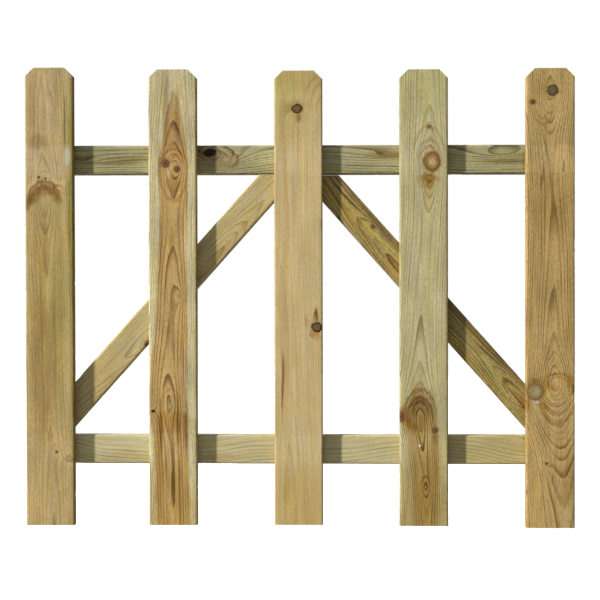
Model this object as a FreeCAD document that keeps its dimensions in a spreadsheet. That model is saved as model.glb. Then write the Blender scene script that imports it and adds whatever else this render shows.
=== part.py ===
"""Garden gate leaf: five dog-eared pales screwed to two rails and a pair of braces.

The gate stands upright: X runs across it from the left pale to the right one, Y runs from the
pales at the front to the rails at the back, and Z is up. The origin is under the middle of the
gate, at the level of its lowest pale foot. Lengths are in millimetres and angles in degrees.
"""

import FreeCAD, Part
import math
import os

import Sketcher

SIZES = [
    ("pale_width", 88, "face of a pale"),
    ("pale_thickness", 20, "front to back of a pale"),
    ("ear_cut", 16, "leg of the 45 degree cut at each top corner of a pale"),
    ("rail_length", 996, "both rails"),
    ("rail_height", 53, "top to bottom of a rail"),
    ("rail_thickness", 28, "front to back of a rail and of a brace"),
    ("bottom_rail_rise", 113, "underside of the bottom rail above the origin"),
    ("top_rail_rise", 645, "underside of the top rail above the origin"),
    ("brace_width", 54, "face of a brace, square to its length"),
    ("brace_foot", 426, "middle of the gate to the inner corner of a brace's foot"),
    ("brace_head", 1, "middle of the gate to the inner corner of a brace's head"),
    ("left_brace_gap", 0.5, "left brace's head under the top rail"),
    ("right_brace_gap", 2.5, "right brace's head under the top rail"),
    ("arris", 3, "radius of the rounded long edges of all the timber"),
    ("screw_diameter", 4, "outside of the thread"),
    ("screw_length", 40, "head to point"),
    ("screw_head", 8, "across the countersunk head"),
    ("screw_point", 6, "length of the tapered point"),
    ("screw_sink", 0.15, "head below the back of the rail"),
    ("screw_clearance", 0.1, "hole wall to thread, and past the point"),
    ("recess_width", 4.6, "across the cross recess"),
    ("recess_slot", 1, "width of each arm of the recess"),
    ("recess_depth", 1.8, "depth of the recess"),
    ("screw_side", 22, "screw to the middle of its pale, across the gate"),
    ("screw_rise", 12, "screw to the middle of its rail, up or down"),
]

# Each pale is set by eye, so its place, foot level, length and lean differ a little.
PALES = [
    ("pale_1", -453.5, 2, 836.5, 0.25),
    ("pale_2", -228.5, 3, 831.5, 0.15),
    ("pale_3", 0.5, 4, 827.5, 0.1),
    ("pale_4", 228, 3, 830, 0.05),
    ("pale_5", 457, 0, 834.5, 0),
]
PALE_COLUMNS = [
    ("place", "middle of the foot from the middle of the gate"),
    ("foot", "foot above the origin"),
    ("length", "foot to top"),
    ("lean", "angle by which the top leans to the left"),
]

# Two screws at each of a brace's three crossings, kept well inside both timbers.
BRACE_SCREWS = [
    ("foot_low_screw", 452, 182),
    ("foot_high_screw", 434, 212),
    ("middle_low_screw", 241, 414),
    ("middle_high_screw", 217, 441),
    ("head_low_screw", 35, 617),
    ("head_high_screw", 23, 632),
]
BRACE_SCREW_COLUMNS = [
    ("out", "to the left or right of the middle of the gate"),
    ("up", "above the origin"),
]

UP = FreeCAD.Vector(0, 0, 1)
ACROSS = FreeCAD.Vector(1, 0, 0)
BACK = FreeCAD.Vector(0, 1, 0)

doc = FreeCAD.newDocument("garden_gate")


# --- the sheet of sizes -------------------------------------------------------------------


def fill_sheet():
    """The sheet of driving dimensions: name, value and meaning of each."""
    sizes = doc.addObject("Spreadsheet::Sheet", "sizes")
    rows = list(SIZES)
    for table, columns in ((PALES, PALE_COLUMNS), (BRACE_SCREWS, BRACE_SCREW_COLUMNS)):
        for name, *numbers in table:
            for (column, meaning), number in zip(columns, numbers):
                rows.append((f"{name}_{column}", number, f"{name}: {meaning}"))
    for row, (alias, number, meaning) in enumerate(rows, start=1):
        sizes.set(f"A{row}", alias)
        sizes.set(f"B{row}", str(number))
        sizes.set(f"C{row}", meaning)
        sizes.setAlias(f"B{row}", alias)
    doc.recompute()
    return sizes


sheet = fill_sheet()


def size(alias):
    """A value of the sheet, for the places that are worked out here."""
    return float(sheet.get(alias))


def bind(thing, **formulas):
    """Binds properties to formulas over the sheet; a double underscore stands for a dot."""
    for prop, formula in formulas.items():
        thing.setExpression(prop.replace("__", "."), formula)


# --- sketches -------------------------------------------------------------------------------


def origin_feature(body, role):
    """One of the body's own origin planes or axes."""
    return next(f for f in body.Origin.OriginFeatures if f.Role == role)


def new_sketch(body, name, plane):
    sketch = body.newObject("Sketcher::SketchObject", name)
    sketch.AttachmentSupport = [(origin_feature(body, plane), "")]
    sketch.MapMode = "FlatFace"
    return sketch


def outline(sketch, corners):
    """A closed outline of straight lines. Level and upright lines are kept so."""
    count = len(corners)
    for i, (x, y) in enumerate(corners):
        end_x, end_y = corners[(i + 1) % count]
        start, end = FreeCAD.Vector(x, y, 0), FreeCAD.Vector(end_x, end_y, 0)
        sketch.addGeometry(Part.LineSegment(start, end), False)
    for i in range(count):
        sketch.addConstraint(Sketcher.Constraint("Coincident", i, 2, (i + 1) % count, 1))
    for i, (x, y) in enumerate(corners):
        end_x, end_y = corners[(i + 1) % count]
        if y == end_y:
            sketch.addConstraint(Sketcher.Constraint("Horizontal", i))
        elif x == end_x:
            sketch.addConstraint(Sketcher.Constraint("Vertical", i))


def dimension(sketch, kind, ends, formula):
    """A distance between two sketch points, bound to a formula. It keeps the drawn sign."""
    first, second = (sketch.getPoint(*end) for end in ends)
    drawn = second.x - first.x if kind == "DistanceX" else second.y - first.y
    if drawn < 0:
        ends = ends[::-1]
    index = sketch.addConstraint(Sketcher.Constraint(kind, *ends[0], *ends[1], abs(drawn)))
    sketch.setExpression(f"Constraints[{index}]", formula)


CENTRE = (-1, 1)


def centred_rectangle(sketch, width_alias, depth_alias):
    width, depth = size(width_alias), size(depth_alias)
    corners = [(-width / 2, -depth / 2), (width / 2, -depth / 2)]
    corners += [(width / 2, depth / 2), (-width / 2, depth / 2)]
    outline(sketch, corners)
    sketch.addConstraint(Sketcher.Constraint("Symmetric", 0, 1, 2, 1, *CENTRE))
    dimension(sketch, "DistanceX", [(0, 1), (0, 2)], f"sizes.{width_alias}")
    dimension(sketch, "DistanceY", [(1, 1), (1, 2)], f"sizes.{depth_alias}")


# --- the timber -----------------------------------------------------------------------------


def planed_stock(name, plane, section, length_formula, both_ways):
    """A body of planed timber with rounded arrises; section names its two sizes."""
    body = doc.addObject("PartDesign::Body", name)
    body.Label = name
    profile = new_sketch(body, f"{name}_section", plane)
    centred_rectangle(profile, *section)
    stock = body.newObject("PartDesign::Pad", f"{name}_stock")
    stock.Profile = profile
    stock.SideType = "Symmetric" if both_ways else "One side"
    bind(stock, Length=length_formula)
    doc.recompute()
    run = UP if plane == "XY_Plane" else ACROSS
    rounded = body.newObject("PartDesign::Fillet", f"{name}_arrises")
    edges = enumerate(stock.Shape.Edges, start=1)
    rounded.Base = (stock, [f"Edge{i}" for i, edge in edges if is_along(edge, run)])
    bind(rounded, Radius="sizes.arris")
    doc.recompute()
    return body


def is_along(edge, direction):
    return abs(edge.tangentAt(edge.FirstParameter).dot(direction)) > 0.999


def cut_through(body, name, sketch):
    """Cuts a sketch on the body's middle plane out through its front and its back."""
    cut = body.newObject("PartDesign::Pocket", name)
    cut.Profile = sketch
    cut.Type = "ThroughAll"
    cut.SideType = "Symmetric"
    return cut


def drill(body, thickness_alias, points, through):
    """Drills the body from its back at points of the gate, given as (x, z).

    A hole that goes through is countersunk for the screw's head; one that doesn't is a pilot
    hole that takes the rest of the screw.
    """
    holes = new_sketch(body, f"{body.Name}_hole_centres", "XZ_Plane")
    bind(holes, AttachmentOffset__Base__z=f"-sizes.{thickness_alias} / 2")
    to_body = body.Placement.inverse()
    radius = size("screw_diameter") / 2
    for x, z in points:
        centre = to_body.multVec(FreeCAD.Vector(x, body.Placement.Base.y, z))
        spot = FreeCAD.Vector(centre.x, centre.z, 0)
        circle = holes.addGeometry(Part.Circle(spot, FreeCAD.Vector(0, 0, 1), radius), False)
        for kind, place in (("DistanceX", spot.x), ("DistanceY", spot.y)):
            holes.addConstraint(Sketcher.Constraint(kind, *CENTRE, circle, 3, place))
    doc.recompute()
    before = body.Shape.Volume
    drilled = body.newObject("PartDesign::Hole", f"{body.Name}_holes")
    drilled.Profile = holes
    drilled.Reversed = True
    drilled.DrillPoint = "Flat"
    bind(drilled, Diameter="sizes.screw_diameter + 2 * sizes.screw_clearance")
    if through:
        drilled.DepthType = "ThroughAll"
        drilled.HoleCutType = "Countersink"
        drilled.HoleCutCountersinkAngle = 90
        bind(drilled, HoleCutDiameter="sizes.screw_head + 4 * sizes.screw_clearance")
    else:
        drilled.DepthType = "Dimension"
        in_pale = "sizes.screw_length - sizes.rail_thickness"
        bind(drilled, Depth=f"{in_pale} + sizes.screw_sink + sizes.screw_clearance")
    doc.recompute()
    print(f"{body.Label}: {len(points)} holes take {before - body.Shape.Volume:.0f} mm3")
    if before - body.Shape.Volume < len(points) * 100:
        raise ValueError(f"{body.Label}: its holes cut too little")


def add_pale(name):
    """An upright pale: planed stock with a 45 degree cut at both top corners."""
    section = ["pale_width", "pale_thickness"]
    body = planed_stock(name, "XY_Plane", section, f"sizes.{name}_length", False)
    half, ear, top = size("pale_width") / 2, size("ear_cut"), size(f"{name}_length")
    spare = size("arris")
    right, high = half + spare, top + spare
    leg = ear + 2 * spare
    sketch = new_sketch(body, f"{name}_ear", "XZ_Plane")
    outline(sketch, [(right, high), (right - leg, high), (right, high - leg)])
    dimension(sketch, "DistanceX", [CENTRE, (0, 1)], "sizes.pale_width / 2 + sizes.arris")
    dimension(sketch, "DistanceY", [CENTRE, (0, 1)], f"sizes.{name}_length + sizes.arris")
    dimension(sketch, "DistanceX", [(0, 2), (0, 1)], "sizes.ear_cut + 2 * sizes.arris")
    dimension(sketch, "DistanceY", [(2, 1), (2, 2)], "sizes.ear_cut + 2 * sizes.arris")
    ear_cut = cut_through(body, f"{name}_ear_cut", sketch)
    doc.recompute()
    both = body.newObject("PartDesign::Mirrored", f"{name}_both_ears")
    both.Originals = [ear_cut]
    both.MirrorPlane = (origin_feature(body, "YZ_Plane"), [""])
    body.Tip = both
    body.Placement.Rotation = FreeCAD.Rotation(BACK, -size(f"{name}_lean"))
    bind(body, Placement__Base__x=f"sizes.{name}_place", Placement__Base__z=f"sizes.{name}_foot")
    bind(body, Placement__Base__y="-sizes.rail_thickness / 2")
    doc.recompute()
    return body


def add_rail(name, rise_alias):
    """A level rail, cut square at both ends."""
    section = ["rail_thickness", "rail_height"]
    body = planed_stock(name, "YZ_Plane", section, "sizes.rail_length", True)
    bind(body, Placement__Base__y="sizes.pale_thickness / 2")
    bind(body, Placement__Base__z=f"sizes.{rise_alias} + sizes.rail_height / 2")
    doc.recompute()
    return body


def brace_frame(side):
    """A brace's angle, cut-end length and middle. side is -1 on the left, 1 on the right."""
    gap = size("left_brace_gap" if side < 0 else "right_brace_gap")
    foot_z = size("bottom_rail_rise") + size("rail_height")
    head_z = size("top_rail_rise") - gap
    run = size("brace_foot") - size("brace_head")
    angle = math.atan2(head_z - foot_z, run)
    end = size("brace_width") / math.sin(angle)
    middle_x = side * (size("brace_head") + run / 2 + end / 2)
    return angle, end, middle_x, (foot_z + head_z) / 2, (head_z - foot_z) / math.sin(angle)


def add_brace(name, side):
    """A sloping brace, cut level at both ends to fit between the rails."""
    angle, end, middle_x, middle_z, slant = brace_frame(side)
    width = size("brace_width")
    mitre = end * math.cos(angle)
    spare = size("arris")
    section = ["rail_thickness", "brace_width"]
    body = planed_stock(name, "YZ_Plane", section, f"{slant + mitre:.6f} mm", True)
    tip, high = (slant + mitre) / 2, width / 2
    sketch = new_sketch(body, f"{name}_mitre", "XZ_Plane")
    slope = mitre / width
    near = (tip + slope * spare, side * (high + spare))
    far = (tip - mitre - slope * spare, -side * (high + spare))
    outline(sketch, [near, (near[0] + spare, near[1]), (near[0] + spare, far[1]), far])
    mitre_cut = cut_through(body, f"{name}_mitre_cut", sketch)
    doc.recompute()
    both = body.newObject("PartDesign::PolarPattern", f"{name}_both_mitres")
    both.Originals = [mitre_cut]
    both.Axis = (origin_feature(body, "Y_Axis"), [""])
    both.Angle = 360
    both.Occurrences = 2
    body.Tip = both
    body.Placement.Base = FreeCAD.Vector(middle_x, size("pale_thickness") / 2, middle_z)
    body.Placement.Rotation = FreeCAD.Rotation(BACK, side * math.degrees(angle))
    doc.recompute()
    return body


# --- the screws -----------------------------------------------------------------------------


def add_screw_pair(name, points):
    """Two countersunk screws with cross recesses, driven from the back of the gate."""
    (x, z), (next_x, next_z) = points
    body = doc.addObject("PartDesign::Body", name)
    body.Label = name
    head, shank = size("screw_head") / 2, size("screw_diameter") / 2
    length, point = size("screw_length"), size("screw_point")
    profile = new_sketch(body, f"{name}_profile", "XY_Plane")
    under_head, above_point = shank - head, point - length
    corners = [(0, 0), (head, 0), (shank, under_head), (shank, above_point), (0, -length)]
    outline(profile, corners)
    profile.addConstraint(Sketcher.Constraint("Coincident", 0, 1, *CENTRE))
    dimension(profile, "DistanceX", [(0, 1), (0, 2)], "sizes.screw_head / 2")
    dimension(profile, "DistanceX", [CENTRE, (2, 1)], "sizes.screw_diameter / 2")
    cone = "(sizes.screw_head - sizes.screw_diameter) / 2"
    dimension(profile, "DistanceY", [(1, 2), CENTRE], cone)
    dimension(profile, "DistanceY", [(3, 1), (3, 2)], "sizes.screw_point")
    dimension(profile, "DistanceY", [(4, 1), CENTRE], "sizes.screw_length")
    turned = body.newObject("PartDesign::Revolution", f"{name}_turned")
    turned.Profile = profile
    turned.ReferenceAxis = (profile, ["V_Axis"])
    turned.Angle = 360
    doc.recompute()
    sketch = new_sketch(body, f"{name}_cross", "XZ_Plane")
    outline(sketch, cross(size("recess_width") / 2, size("recess_slot") / 2))
    recess = body.newObject("PartDesign::Pocket", f"{name}_recess")
    recess.Profile = sketch
    recess.Reversed = True
    bind(recess, Length="sizes.recess_depth")
    doc.recompute()
    pair = body.newObject("PartDesign::LinearPattern", f"{name}_pair")
    pair.Originals = [turned, recess]
    pair.Direction = (origin_feature(body, "X_Axis"), [""])
    pair.Length = math.hypot(next_x - x, next_z - z)
    pair.Occurrences = 2
    body.Tip = pair
    along = FreeCAD.Vector(next_x - x, 0, next_z - z)
    body.Placement.Rotation = FreeCAD.Rotation(ACROSS, along)
    body.Placement.Base = FreeCAD.Vector(x, back_face() - size("screw_sink"), z)
    doc.recompute()
    return body


def cross(reach, half_slot):
    """The twelve corners of a cross, anticlockwise."""
    arm = [(reach, -half_slot), (reach, half_slot), (half_slot, half_slot)]
    corners = []
    for quarter in range(4):
        for x, y in arm:
            for _ in range(quarter):
                x, y = -y, x
            corners.append((x, y))
    return corners


def back_face():
    """The level of the gate's back, behind the rails."""
    return (size("pale_thickness") + size("rail_thickness")) / 2


# --- where the screws go --------------------------------------------------------------------


def pale_middle(name, z):
    """The middle of a pale at a height, with its lean."""
    lean = math.radians(size(f"{name}_lean"))
    return size(f"{name}_place") - math.tan(lean) * (z - size(f"{name}_foot"))


def rail_crossing(pale, rise_alias):
    """The two screws where a rail crosses a pale, on a diagonal so that neither splits it."""
    z = size(rise_alias) + size("rail_height") / 2
    x = pale_middle(pale, z)
    side, rise = size("screw_side"), size("screw_rise")
    return [(x - side, z + rise), (x + side, z - rise)]


def brace_crossing(where, side):
    """The two screws at a brace's foot, middle or head. side is -1 on the left, 1 on the right."""
    names = [f"{where}_{level}_screw" for level in ("low", "high")]
    return [(side * size(f"{name}_out"), size(f"{name}_up")) for name in names]


def crossings():
    """Every pair of screws: its node's name, its two timbers and its two places."""
    for rail, rise_alias in (("top_rail", "top_rail_rise"), ("bottom_rail", "bottom_rail_rise")):
        for name, *_ in PALES:
            yield f"{rail}_{name}_screws", rail, name, rail_crossing(name, rise_alias)
    left = ("left_brace", -1, ("pale_1", "pale_2", "pale_3"))
    right = ("right_brace", 1, ("pale_5", "pale_4", "pale_3"))
    for brace, side, pales in (left, right):
        for name, where in zip(pales, ("foot", "middle", "head")):
            yield f"{brace}_{name}_screws", brace, name, brace_crossing(where, side)


# --- the gate ---------------------------------------------------------------------------------

timber = {name: add_pale(name) for name, *_ in PALES}
timber["top_rail"] = add_rail("top_rail", "top_rail_rise")
timber["bottom_rail"] = add_rail("bottom_rail", "bottom_rail_rise")
timber["left_brace"] = add_brace("left_brace", -1)
timber["right_brace"] = add_brace("right_brace", 1)

holes = {name: [] for name in timber}
screws = []
for node, behind, pale, places in crossings():
    screws.append(add_screw_pair(node, places))
    holes[behind] += places
    holes[pale] += places

for name, body in timber.items():
    is_pale = name.startswith("pale")
    drill(body, "pale_thickness" if is_pale else "rail_thickness", holes[name], not is_pale)

doc.recompute()
for thing in doc.Objects:
    if "Invalid" in thing.State or "Error" in thing.State:
        raise ValueError(f"{thing.Label} is {thing.State}")

parts = list(timber.values()) + screws
for body in parts:
    if body.Shape.isNull() or not body.Shape.isValid():
        raise ValueError(f"{body.Label} has no sound shape")

os.makedirs("parts", exist_ok=True)
for body in parts:
    body.Shape.exportStep(f"parts/{body.Label}.step")
    box = body.Shape.BoundBox
    print(
        f"{body.Label}: {len(body.Shape.Solids)} solids, {body.Shape.Volume / 1000:.1f} cm3,"
        f" x {box.XMin:.1f} to {box.XMax:.1f}, y {box.YMin:.1f} to {box.YMax:.1f},"
        f" z {box.ZMin:.1f} to {box.ZMax:.1f}"
    )
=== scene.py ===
# %% [markdown]
# # A picket garden gate in pressure-treated pine
# The gate's design is already fixed: five pales, two rails, two braces and the screws that hold
# them are solids with exact places. This lesson gives them their looks. Every board is built
# again as a mesh that is fine enough to be worn, dished at its knots and drilled, and every board
# gets a wood that is solid, so the grain on its face, edge and end belong together.

# %% Load the frame
import math

import bmesh
import bpy
import numpy as np
from mathutils import Matrix, Vector, noise


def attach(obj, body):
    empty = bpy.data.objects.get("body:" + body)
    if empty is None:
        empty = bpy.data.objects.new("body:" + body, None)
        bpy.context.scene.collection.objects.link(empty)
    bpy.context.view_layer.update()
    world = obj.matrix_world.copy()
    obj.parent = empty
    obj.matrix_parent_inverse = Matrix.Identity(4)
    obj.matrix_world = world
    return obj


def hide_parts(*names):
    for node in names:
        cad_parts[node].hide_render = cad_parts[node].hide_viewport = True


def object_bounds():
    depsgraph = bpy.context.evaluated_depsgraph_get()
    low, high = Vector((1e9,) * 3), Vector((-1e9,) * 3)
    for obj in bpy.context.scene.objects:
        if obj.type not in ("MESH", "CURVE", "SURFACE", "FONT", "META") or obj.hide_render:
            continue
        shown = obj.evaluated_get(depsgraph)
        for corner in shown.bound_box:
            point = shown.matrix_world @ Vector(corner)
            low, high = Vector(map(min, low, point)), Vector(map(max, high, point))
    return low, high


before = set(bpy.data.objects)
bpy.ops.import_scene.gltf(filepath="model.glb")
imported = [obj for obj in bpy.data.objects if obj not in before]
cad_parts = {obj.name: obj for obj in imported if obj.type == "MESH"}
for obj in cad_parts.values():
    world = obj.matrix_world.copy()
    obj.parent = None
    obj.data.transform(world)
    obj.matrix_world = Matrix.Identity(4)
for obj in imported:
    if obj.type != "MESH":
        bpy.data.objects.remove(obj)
cad_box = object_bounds()
MM = 0.001
print("frame:", len(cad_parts), "nodes")

# %% [markdown]
# ## Where each board lies
# Pales, rails and braces are the same thing, planed stock, laid three ways. If each board has a
# frame of its own, with z along the grain, x across its face and y through its thickness, one
# function can build them all and one set of shaders can grain them all. The frame is read from
# the solid: the middles of its two ends give the grain's direction.

# %% Board frames
PALES = [f"pale_{n}" for n in range(1, 6)]
RAILS = ["top_rail", "bottom_rail"]
BRACES = ["left_brace", "right_brace"]


def corners(node):
    return np.array([v.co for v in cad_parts[node].data.vertices])


def end_face(node, axis, high):
    """The middle and the size of a board's end face, at its high or low end along an axis."""
    points = corners(node)
    level = points[:, axis]
    edge = level.max() if high else level.min()
    near = points[np.abs(level - edge) < 1 * MM]
    return Vector((near.min(0) + near.max(0)) / 2), Vector(near.max(0) - near.min(0))


class Board:
    """A board's place: its foot, the direction of its grain, and its width, depth and length."""

    def __init__(self, node):
        self.node = node
        run_axis = 0 if node in RAILS else 2
        self.foot, low_size = end_face(node, run_axis, high=False)
        head, high_size = end_face(node, run_axis, high=True)
        self.length = (head - self.foot).length
        self.along = (head - self.foot).normalized()
        self.across = Vector((0, 1, 0)).cross(self.along)
        # a brace's level end is wider than the board, so it is turned back by the slope
        if node in RAILS:
            self.width = low_size.z
        else:
            self.width = low_size.x * self.across.x
        self.depth = low_size.y
        self.ear = (low_size.x - high_size.x) / 2 if node in PALES else 0
        columns = Matrix((self.across, Vector((0, 1, 0)), self.along)).transposed()
        self.matrix = Matrix.Translation(self.foot) @ columns.to_4x4()
        self.front = -self.depth / 2


boards = {node: Board(node) for node in PALES + RAILS + BRACES}
for board in boards.values():
    size = [board.width, board.depth, board.length]
    print(f"{board.node}:", " x ".join(f"{s / MM:.1f}" for s in size), "mm")

# %% [markdown]
# ## Where each screw goes
# A screw node holds two screws, one each side of its middle, driven straight in from the back.
# The box round each one gives its axis and the level of its head.

# %% Screw places
def screw_heads(node):
    """The centre of the head of each of the node's two screws."""
    points = corners(node)
    middle = (points[:, 0].min() + points[:, 0].max()) / 2
    heads = []
    for half in (points[points[:, 0] < middle], points[points[:, 0] > middle]):
        centre = (half.min(0) + half.max(0)) / 2
        heads.append(Vector((centre[0], half[:, 1].max(), centre[2])))
    return heads


screw_at = {node: screw_heads(node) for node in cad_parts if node.endswith("_screws")}
print("screws:", sum(len(heads) for heads in screw_at.values()))

# %% [markdown]
# ## Knots
# A knot is where a branch left the trunk. It shows in three ways, so its place is written once
# and used three times: the wood around it dips a little when the board dries, the growth rings
# flow round it, and the knot itself is darker, with small rings of its own. Places are in the
# board's frame in millimetres: across from the middle, and up from the foot.

# %% Knot places
class Knot:
    """A branch's cut end: its centre, half width and half height, and how far it bends rings."""

    def __init__(self, x, z, wide, high, bend=2.0, reach=(2.2, 4.5), look="brown"):
        self.x, self.z, self.wide, self.high = x, z, wide, high
        self.bend, self.look = bend, look
        self.reach = (wide * reach[0], high * reach[1])


KNOTS = {
    "pale_1": [
        Knot(-19, 636, 2.5, 2.5, look="pin"),
        Knot(-7, 634, 2, 2, look="pin"),
        Knot(12, 134, 2.2, 2, look="pin"),
        Knot(36, 121, 7, 5, bend=1.5, look="pale"),
    ],
    "pale_2": [
        Knot(-13, 660, 7, 7.5, bend=0.8, reach=(1.6, 2.4), look="red"),
        Knot(9, 649, 4.5, 5.5, bend=1.6, reach=(2.6, 3.2), look="red"),
        Knot(12, 418, 3.5, 4, look="pale"),
        Knot(-5, 216, 5, 5, bend=0.7, look="pale"),
        Knot(21, 211, 6, 6, bend=0.6, look="pale"),
        Knot(-36, 208, 3.2, 2.2, look="black"),
    ],
    "pale_3": [
        Knot(-2, 758, 9.5, 8, bend=1.2, reach=(1.9, 2.4), look="dark"),
        Knot(33, 360, 9, 8.5, bend=1.2, reach=(1.8, 2.6), look="dark"),
    ],
    "pale_4": [
        Knot(15, 662, 15, 17, bend=3.0, reach=(1.7, 3.2), look="great"),
        Knot(-42, 199, 7, 9, look="red"),
        Knot(20, 174, 5.5, 5.5, bend=1.2, look="red"),
    ],
    "pale_5": [
        Knot(4, 794, 10, 10, bend=1.6, reach=(1.9, 2.2), look="grey"),
        Knot(-32, 773, 5, 4.5, bend=1.0, look="red"),
        Knot(-27, 247, 15, 15, reach=(1.6, 1.8), look="green"),
        Knot(-7, 117, 2.5, 2.5, look="red"),
        Knot(44, 250, 3, 9, look="grey"),
    ],
    "top_rail": [
        Knot(-13, 334, 7, 11, bend=1.5, look="black"),
        Knot(0, 366, 6, 8, look="pale"),
    ],
    "bottom_rail": [],
    "left_brace": [
        Knot(27, 248, 6, 7, look="red"),
    ],
    "right_brace": [
        Knot(11, 502, 3.5, 4.5, look="red"),
    ],
}
print("knots:", sum(len(knots) for knots in KNOTS.values()))

# %% [markdown]
# ## Planed stock
# A planed board is a long box whose four long edges are rounded by the cutters. A cube scaled to
# size and bevelled on those edges gives that. It is then subdivided into squares of a few
# millimetres, because wear and knots move single points later. The pales' ears and the braces'
# sloping ends are sawn off with planes, as a saw does.

# %% Build planed stock
ARRIS = 3 * MM
GRID = 2.5 * MM
ROUNDING = 5
ALIGNED = 0.999
WHOLE_LENGTH = 0.9
HAIR = 1e-6


def placed(bm, scale=(1, 1, 1), turns=(), move=(0, 0, 0)):
    """Scales a whole mesh, turns it by (degrees, axis) steps, then moves it."""
    bmesh.ops.scale(bm, vec=scale, verts=bm.verts)
    for degrees, axis in turns:
        turn = Matrix.Rotation(math.radians(degrees), 3, axis)
        bmesh.ops.rotate(bm, matrix=turn, verts=bm.verts)
    bmesh.ops.translate(bm, vec=move, verts=bm.verts)


def edges_along(bm, axis):
    """The edges that run along an axis."""
    found = []
    for edge in bm.edges:
        run = (edge.verts[1].co - edge.verts[0].co).normalized()
        if abs(run[axis]) > ALIGNED:
            found.append(edge)
    return found


def saw(bm, point, normal):
    """Cuts off what is on the normal's side of a plane and closes the cut."""
    geometry = bm.verts[:] + bm.edges[:] + bm.faces[:]
    cut = bmesh.ops.bisect_plane(
        bm, geom=geometry, plane_co=point, plane_no=normal, dist=HAIR, clear_outer=True
    )
    edges = [part for part in cut["geom_cut"] if isinstance(part, bmesh.types.BMEdge)]
    bmesh.ops.contextual_create(bm, geom=edges)


def planed_stock(board):
    """The board as planed and cut to length, in its own frame."""
    spare = board.width if board.node in BRACES else 0
    bm = bmesh.new()
    bmesh.ops.create_cube(bm, size=1)
    size = (board.width, board.depth, board.length + 2 * spare)
    placed(bm, scale=size, move=(0, 0, board.length / 2))
    bmesh.ops.bevel(
        bm, geom=edges_along(bm, 2), offset=ARRIS, offset_type="OFFSET", segments=ROUNDING,
        profile=0.5, affect="EDGES", material=-1,
    )
    for axis, reach in ((2, size[2]), (0, board.width - 2 * ARRIS), (1, board.depth - 2 * ARRIS)):
        whole = [e for e in edges_along(bm, axis) if e.calc_length() > WHOLE_LENGTH * reach]
        bmesh.ops.subdivide_edges(bm, edges=whole, cuts=round(reach / GRID), use_grid_fill=True)
    if board.ear:
        for side in (-1, 1):
            corner = Vector((side * board.width / 2, 0, board.length - board.ear))
            saw(bm, corner, Vector((side, 0, 1)))
    if board.node in BRACES:
        level = board.matrix.inverted().to_3x3() @ Vector((0, 0, 1))
        saw(bm, Vector((0, 0, board.length)), level)
        saw(bm, Vector((0, 0, 0)), -level)
    return bm


blanks = {node: planed_stock(board) for node, board in boards.items()}
print("blanks:", sum(len(bm.faces) for bm in blanks.values()), "faces")

# %% [markdown]
# ## Wear
# Wear only takes wood away, so every point moves inwards. The planer leaves long shallow waves,
# the wood sinks a little beside each knot, and handling bruises the long edges in places.

# %% Wear the boards
WAVE, DISH, BRUISE = 0.22 * MM, 0.45 * MM, 0.7 * MM
DISH_RING, DISH_SPREAD, FULL_KNOT = 1.25, 0.45, 9
SIDE_REACH = 1.3 * ARRIS


def wear(board, bm, knots, seed):
    """Sinks the faces by waves and knots and bruises the long edges."""
    half = board.width / 2
    for vert in bm.verts:
        x, y, z = vert.co / MM
        place = Vector((x * 0.02, y * 0.05, z * 0.007)) + Vector((seed, 0, 0))
        sunk = WAVE * (0.5 + 0.5 * noise.noise(place))
        for knot in knots:
            rho = math.hypot((x - knot.x) / knot.wide, (z - knot.z) / knot.high)
            ring = math.exp(-(((rho - DISH_RING) / DISH_SPREAD) ** 2))
            sunk += DISH * ring * min(1, knot.wide / FULL_KNOT)
        inward_y = -math.copysign(1, y)
        # full on the faces, fading out on the narrow sides
        face = min(1, abs(vert.co.y) / (board.depth / 2 - ARRIS)) ** 4
        vert.co.y += inward_y * sunk * face
        near_side = max(0, 1 - (half - abs(vert.co.x)) / SIDE_REACH)
        if near_side > 0:
            knock = noise.noise(Vector((seed + x * 0.03, y * 0.06, z * 0.035)))
            small = noise.noise(Vector((seed, y * 0.2, z * 0.16)))
            bruise = max(0, knock * 0.8 + small * 0.5 - 0.25)
            vert.co.x -= math.copysign(BRUISE * min(1, bruise * 2.2) * near_side, x)
            vert.co.y += inward_y * BRUISE * min(1, bruise * 1.6) * near_side * face


for seed, (node, bm) in enumerate(blanks.items()):
    wear(boards[node], bm, KNOTS[node], seed * 7.3)

# %% [markdown]
# ## Sawn ends
# A saw leaves fibres standing, so the ends are a little uneven. The ends are moved inwards by a
# fine noise; the right-hand pale's foot is the roughest and has lost a splinter at one corner.

# %% Rough ends
FUZZ, SPLINTER, AT_END = 0.3 * MM, 2.5 * MM, 0.05 * MM
SPLINTER_FROM = 22


def roughen_ends(board, bm, seed):
    """Moves a board's sawn ends inwards unevenly; the last pale's foot is splintered too."""
    for vert in bm.verts:
        x, y, z = vert.co / MM
        ragged = 0.5 + 0.5 * noise.noise(Vector((x * 0.35 + seed, y * 0.5, 0)))
        if vert.co.z < AT_END:
            splinter = 0
            if board.node == "pale_5":
                torn = noise.noise(Vector((x * 0.12, y * 0.08, 3.1)))
                splinter = max(0, torn + (x - SPLINTER_FROM) / 60)
            vert.co.z += FUZZ * ragged + splinter * SPLINTER
        elif board.node in PALES and vert.co.z > board.length - AT_END:
            vert.co.z -= FUZZ * ragged


for seed, (node, bm) in enumerate(blanks.items()):
    if node not in BRACES:
        roughen_ends(boards[node], bm, seed * 3.7)

# %% [markdown]
# ## Put the boards in the gate
# Each mesh is turned and moved to its place, so its object stays at the gate's origin. Shading is
# smooth except where a saw or a planer left a real corner.

# %% Boards as objects
CORNER = math.radians(38)


def in_scene(name, data):
    """An object for a mesh, a lamp or a camera, linked to the scene."""
    made = bpy.data.objects.new(name, data)
    bpy.context.scene.collection.objects.link(made)
    return made


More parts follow.
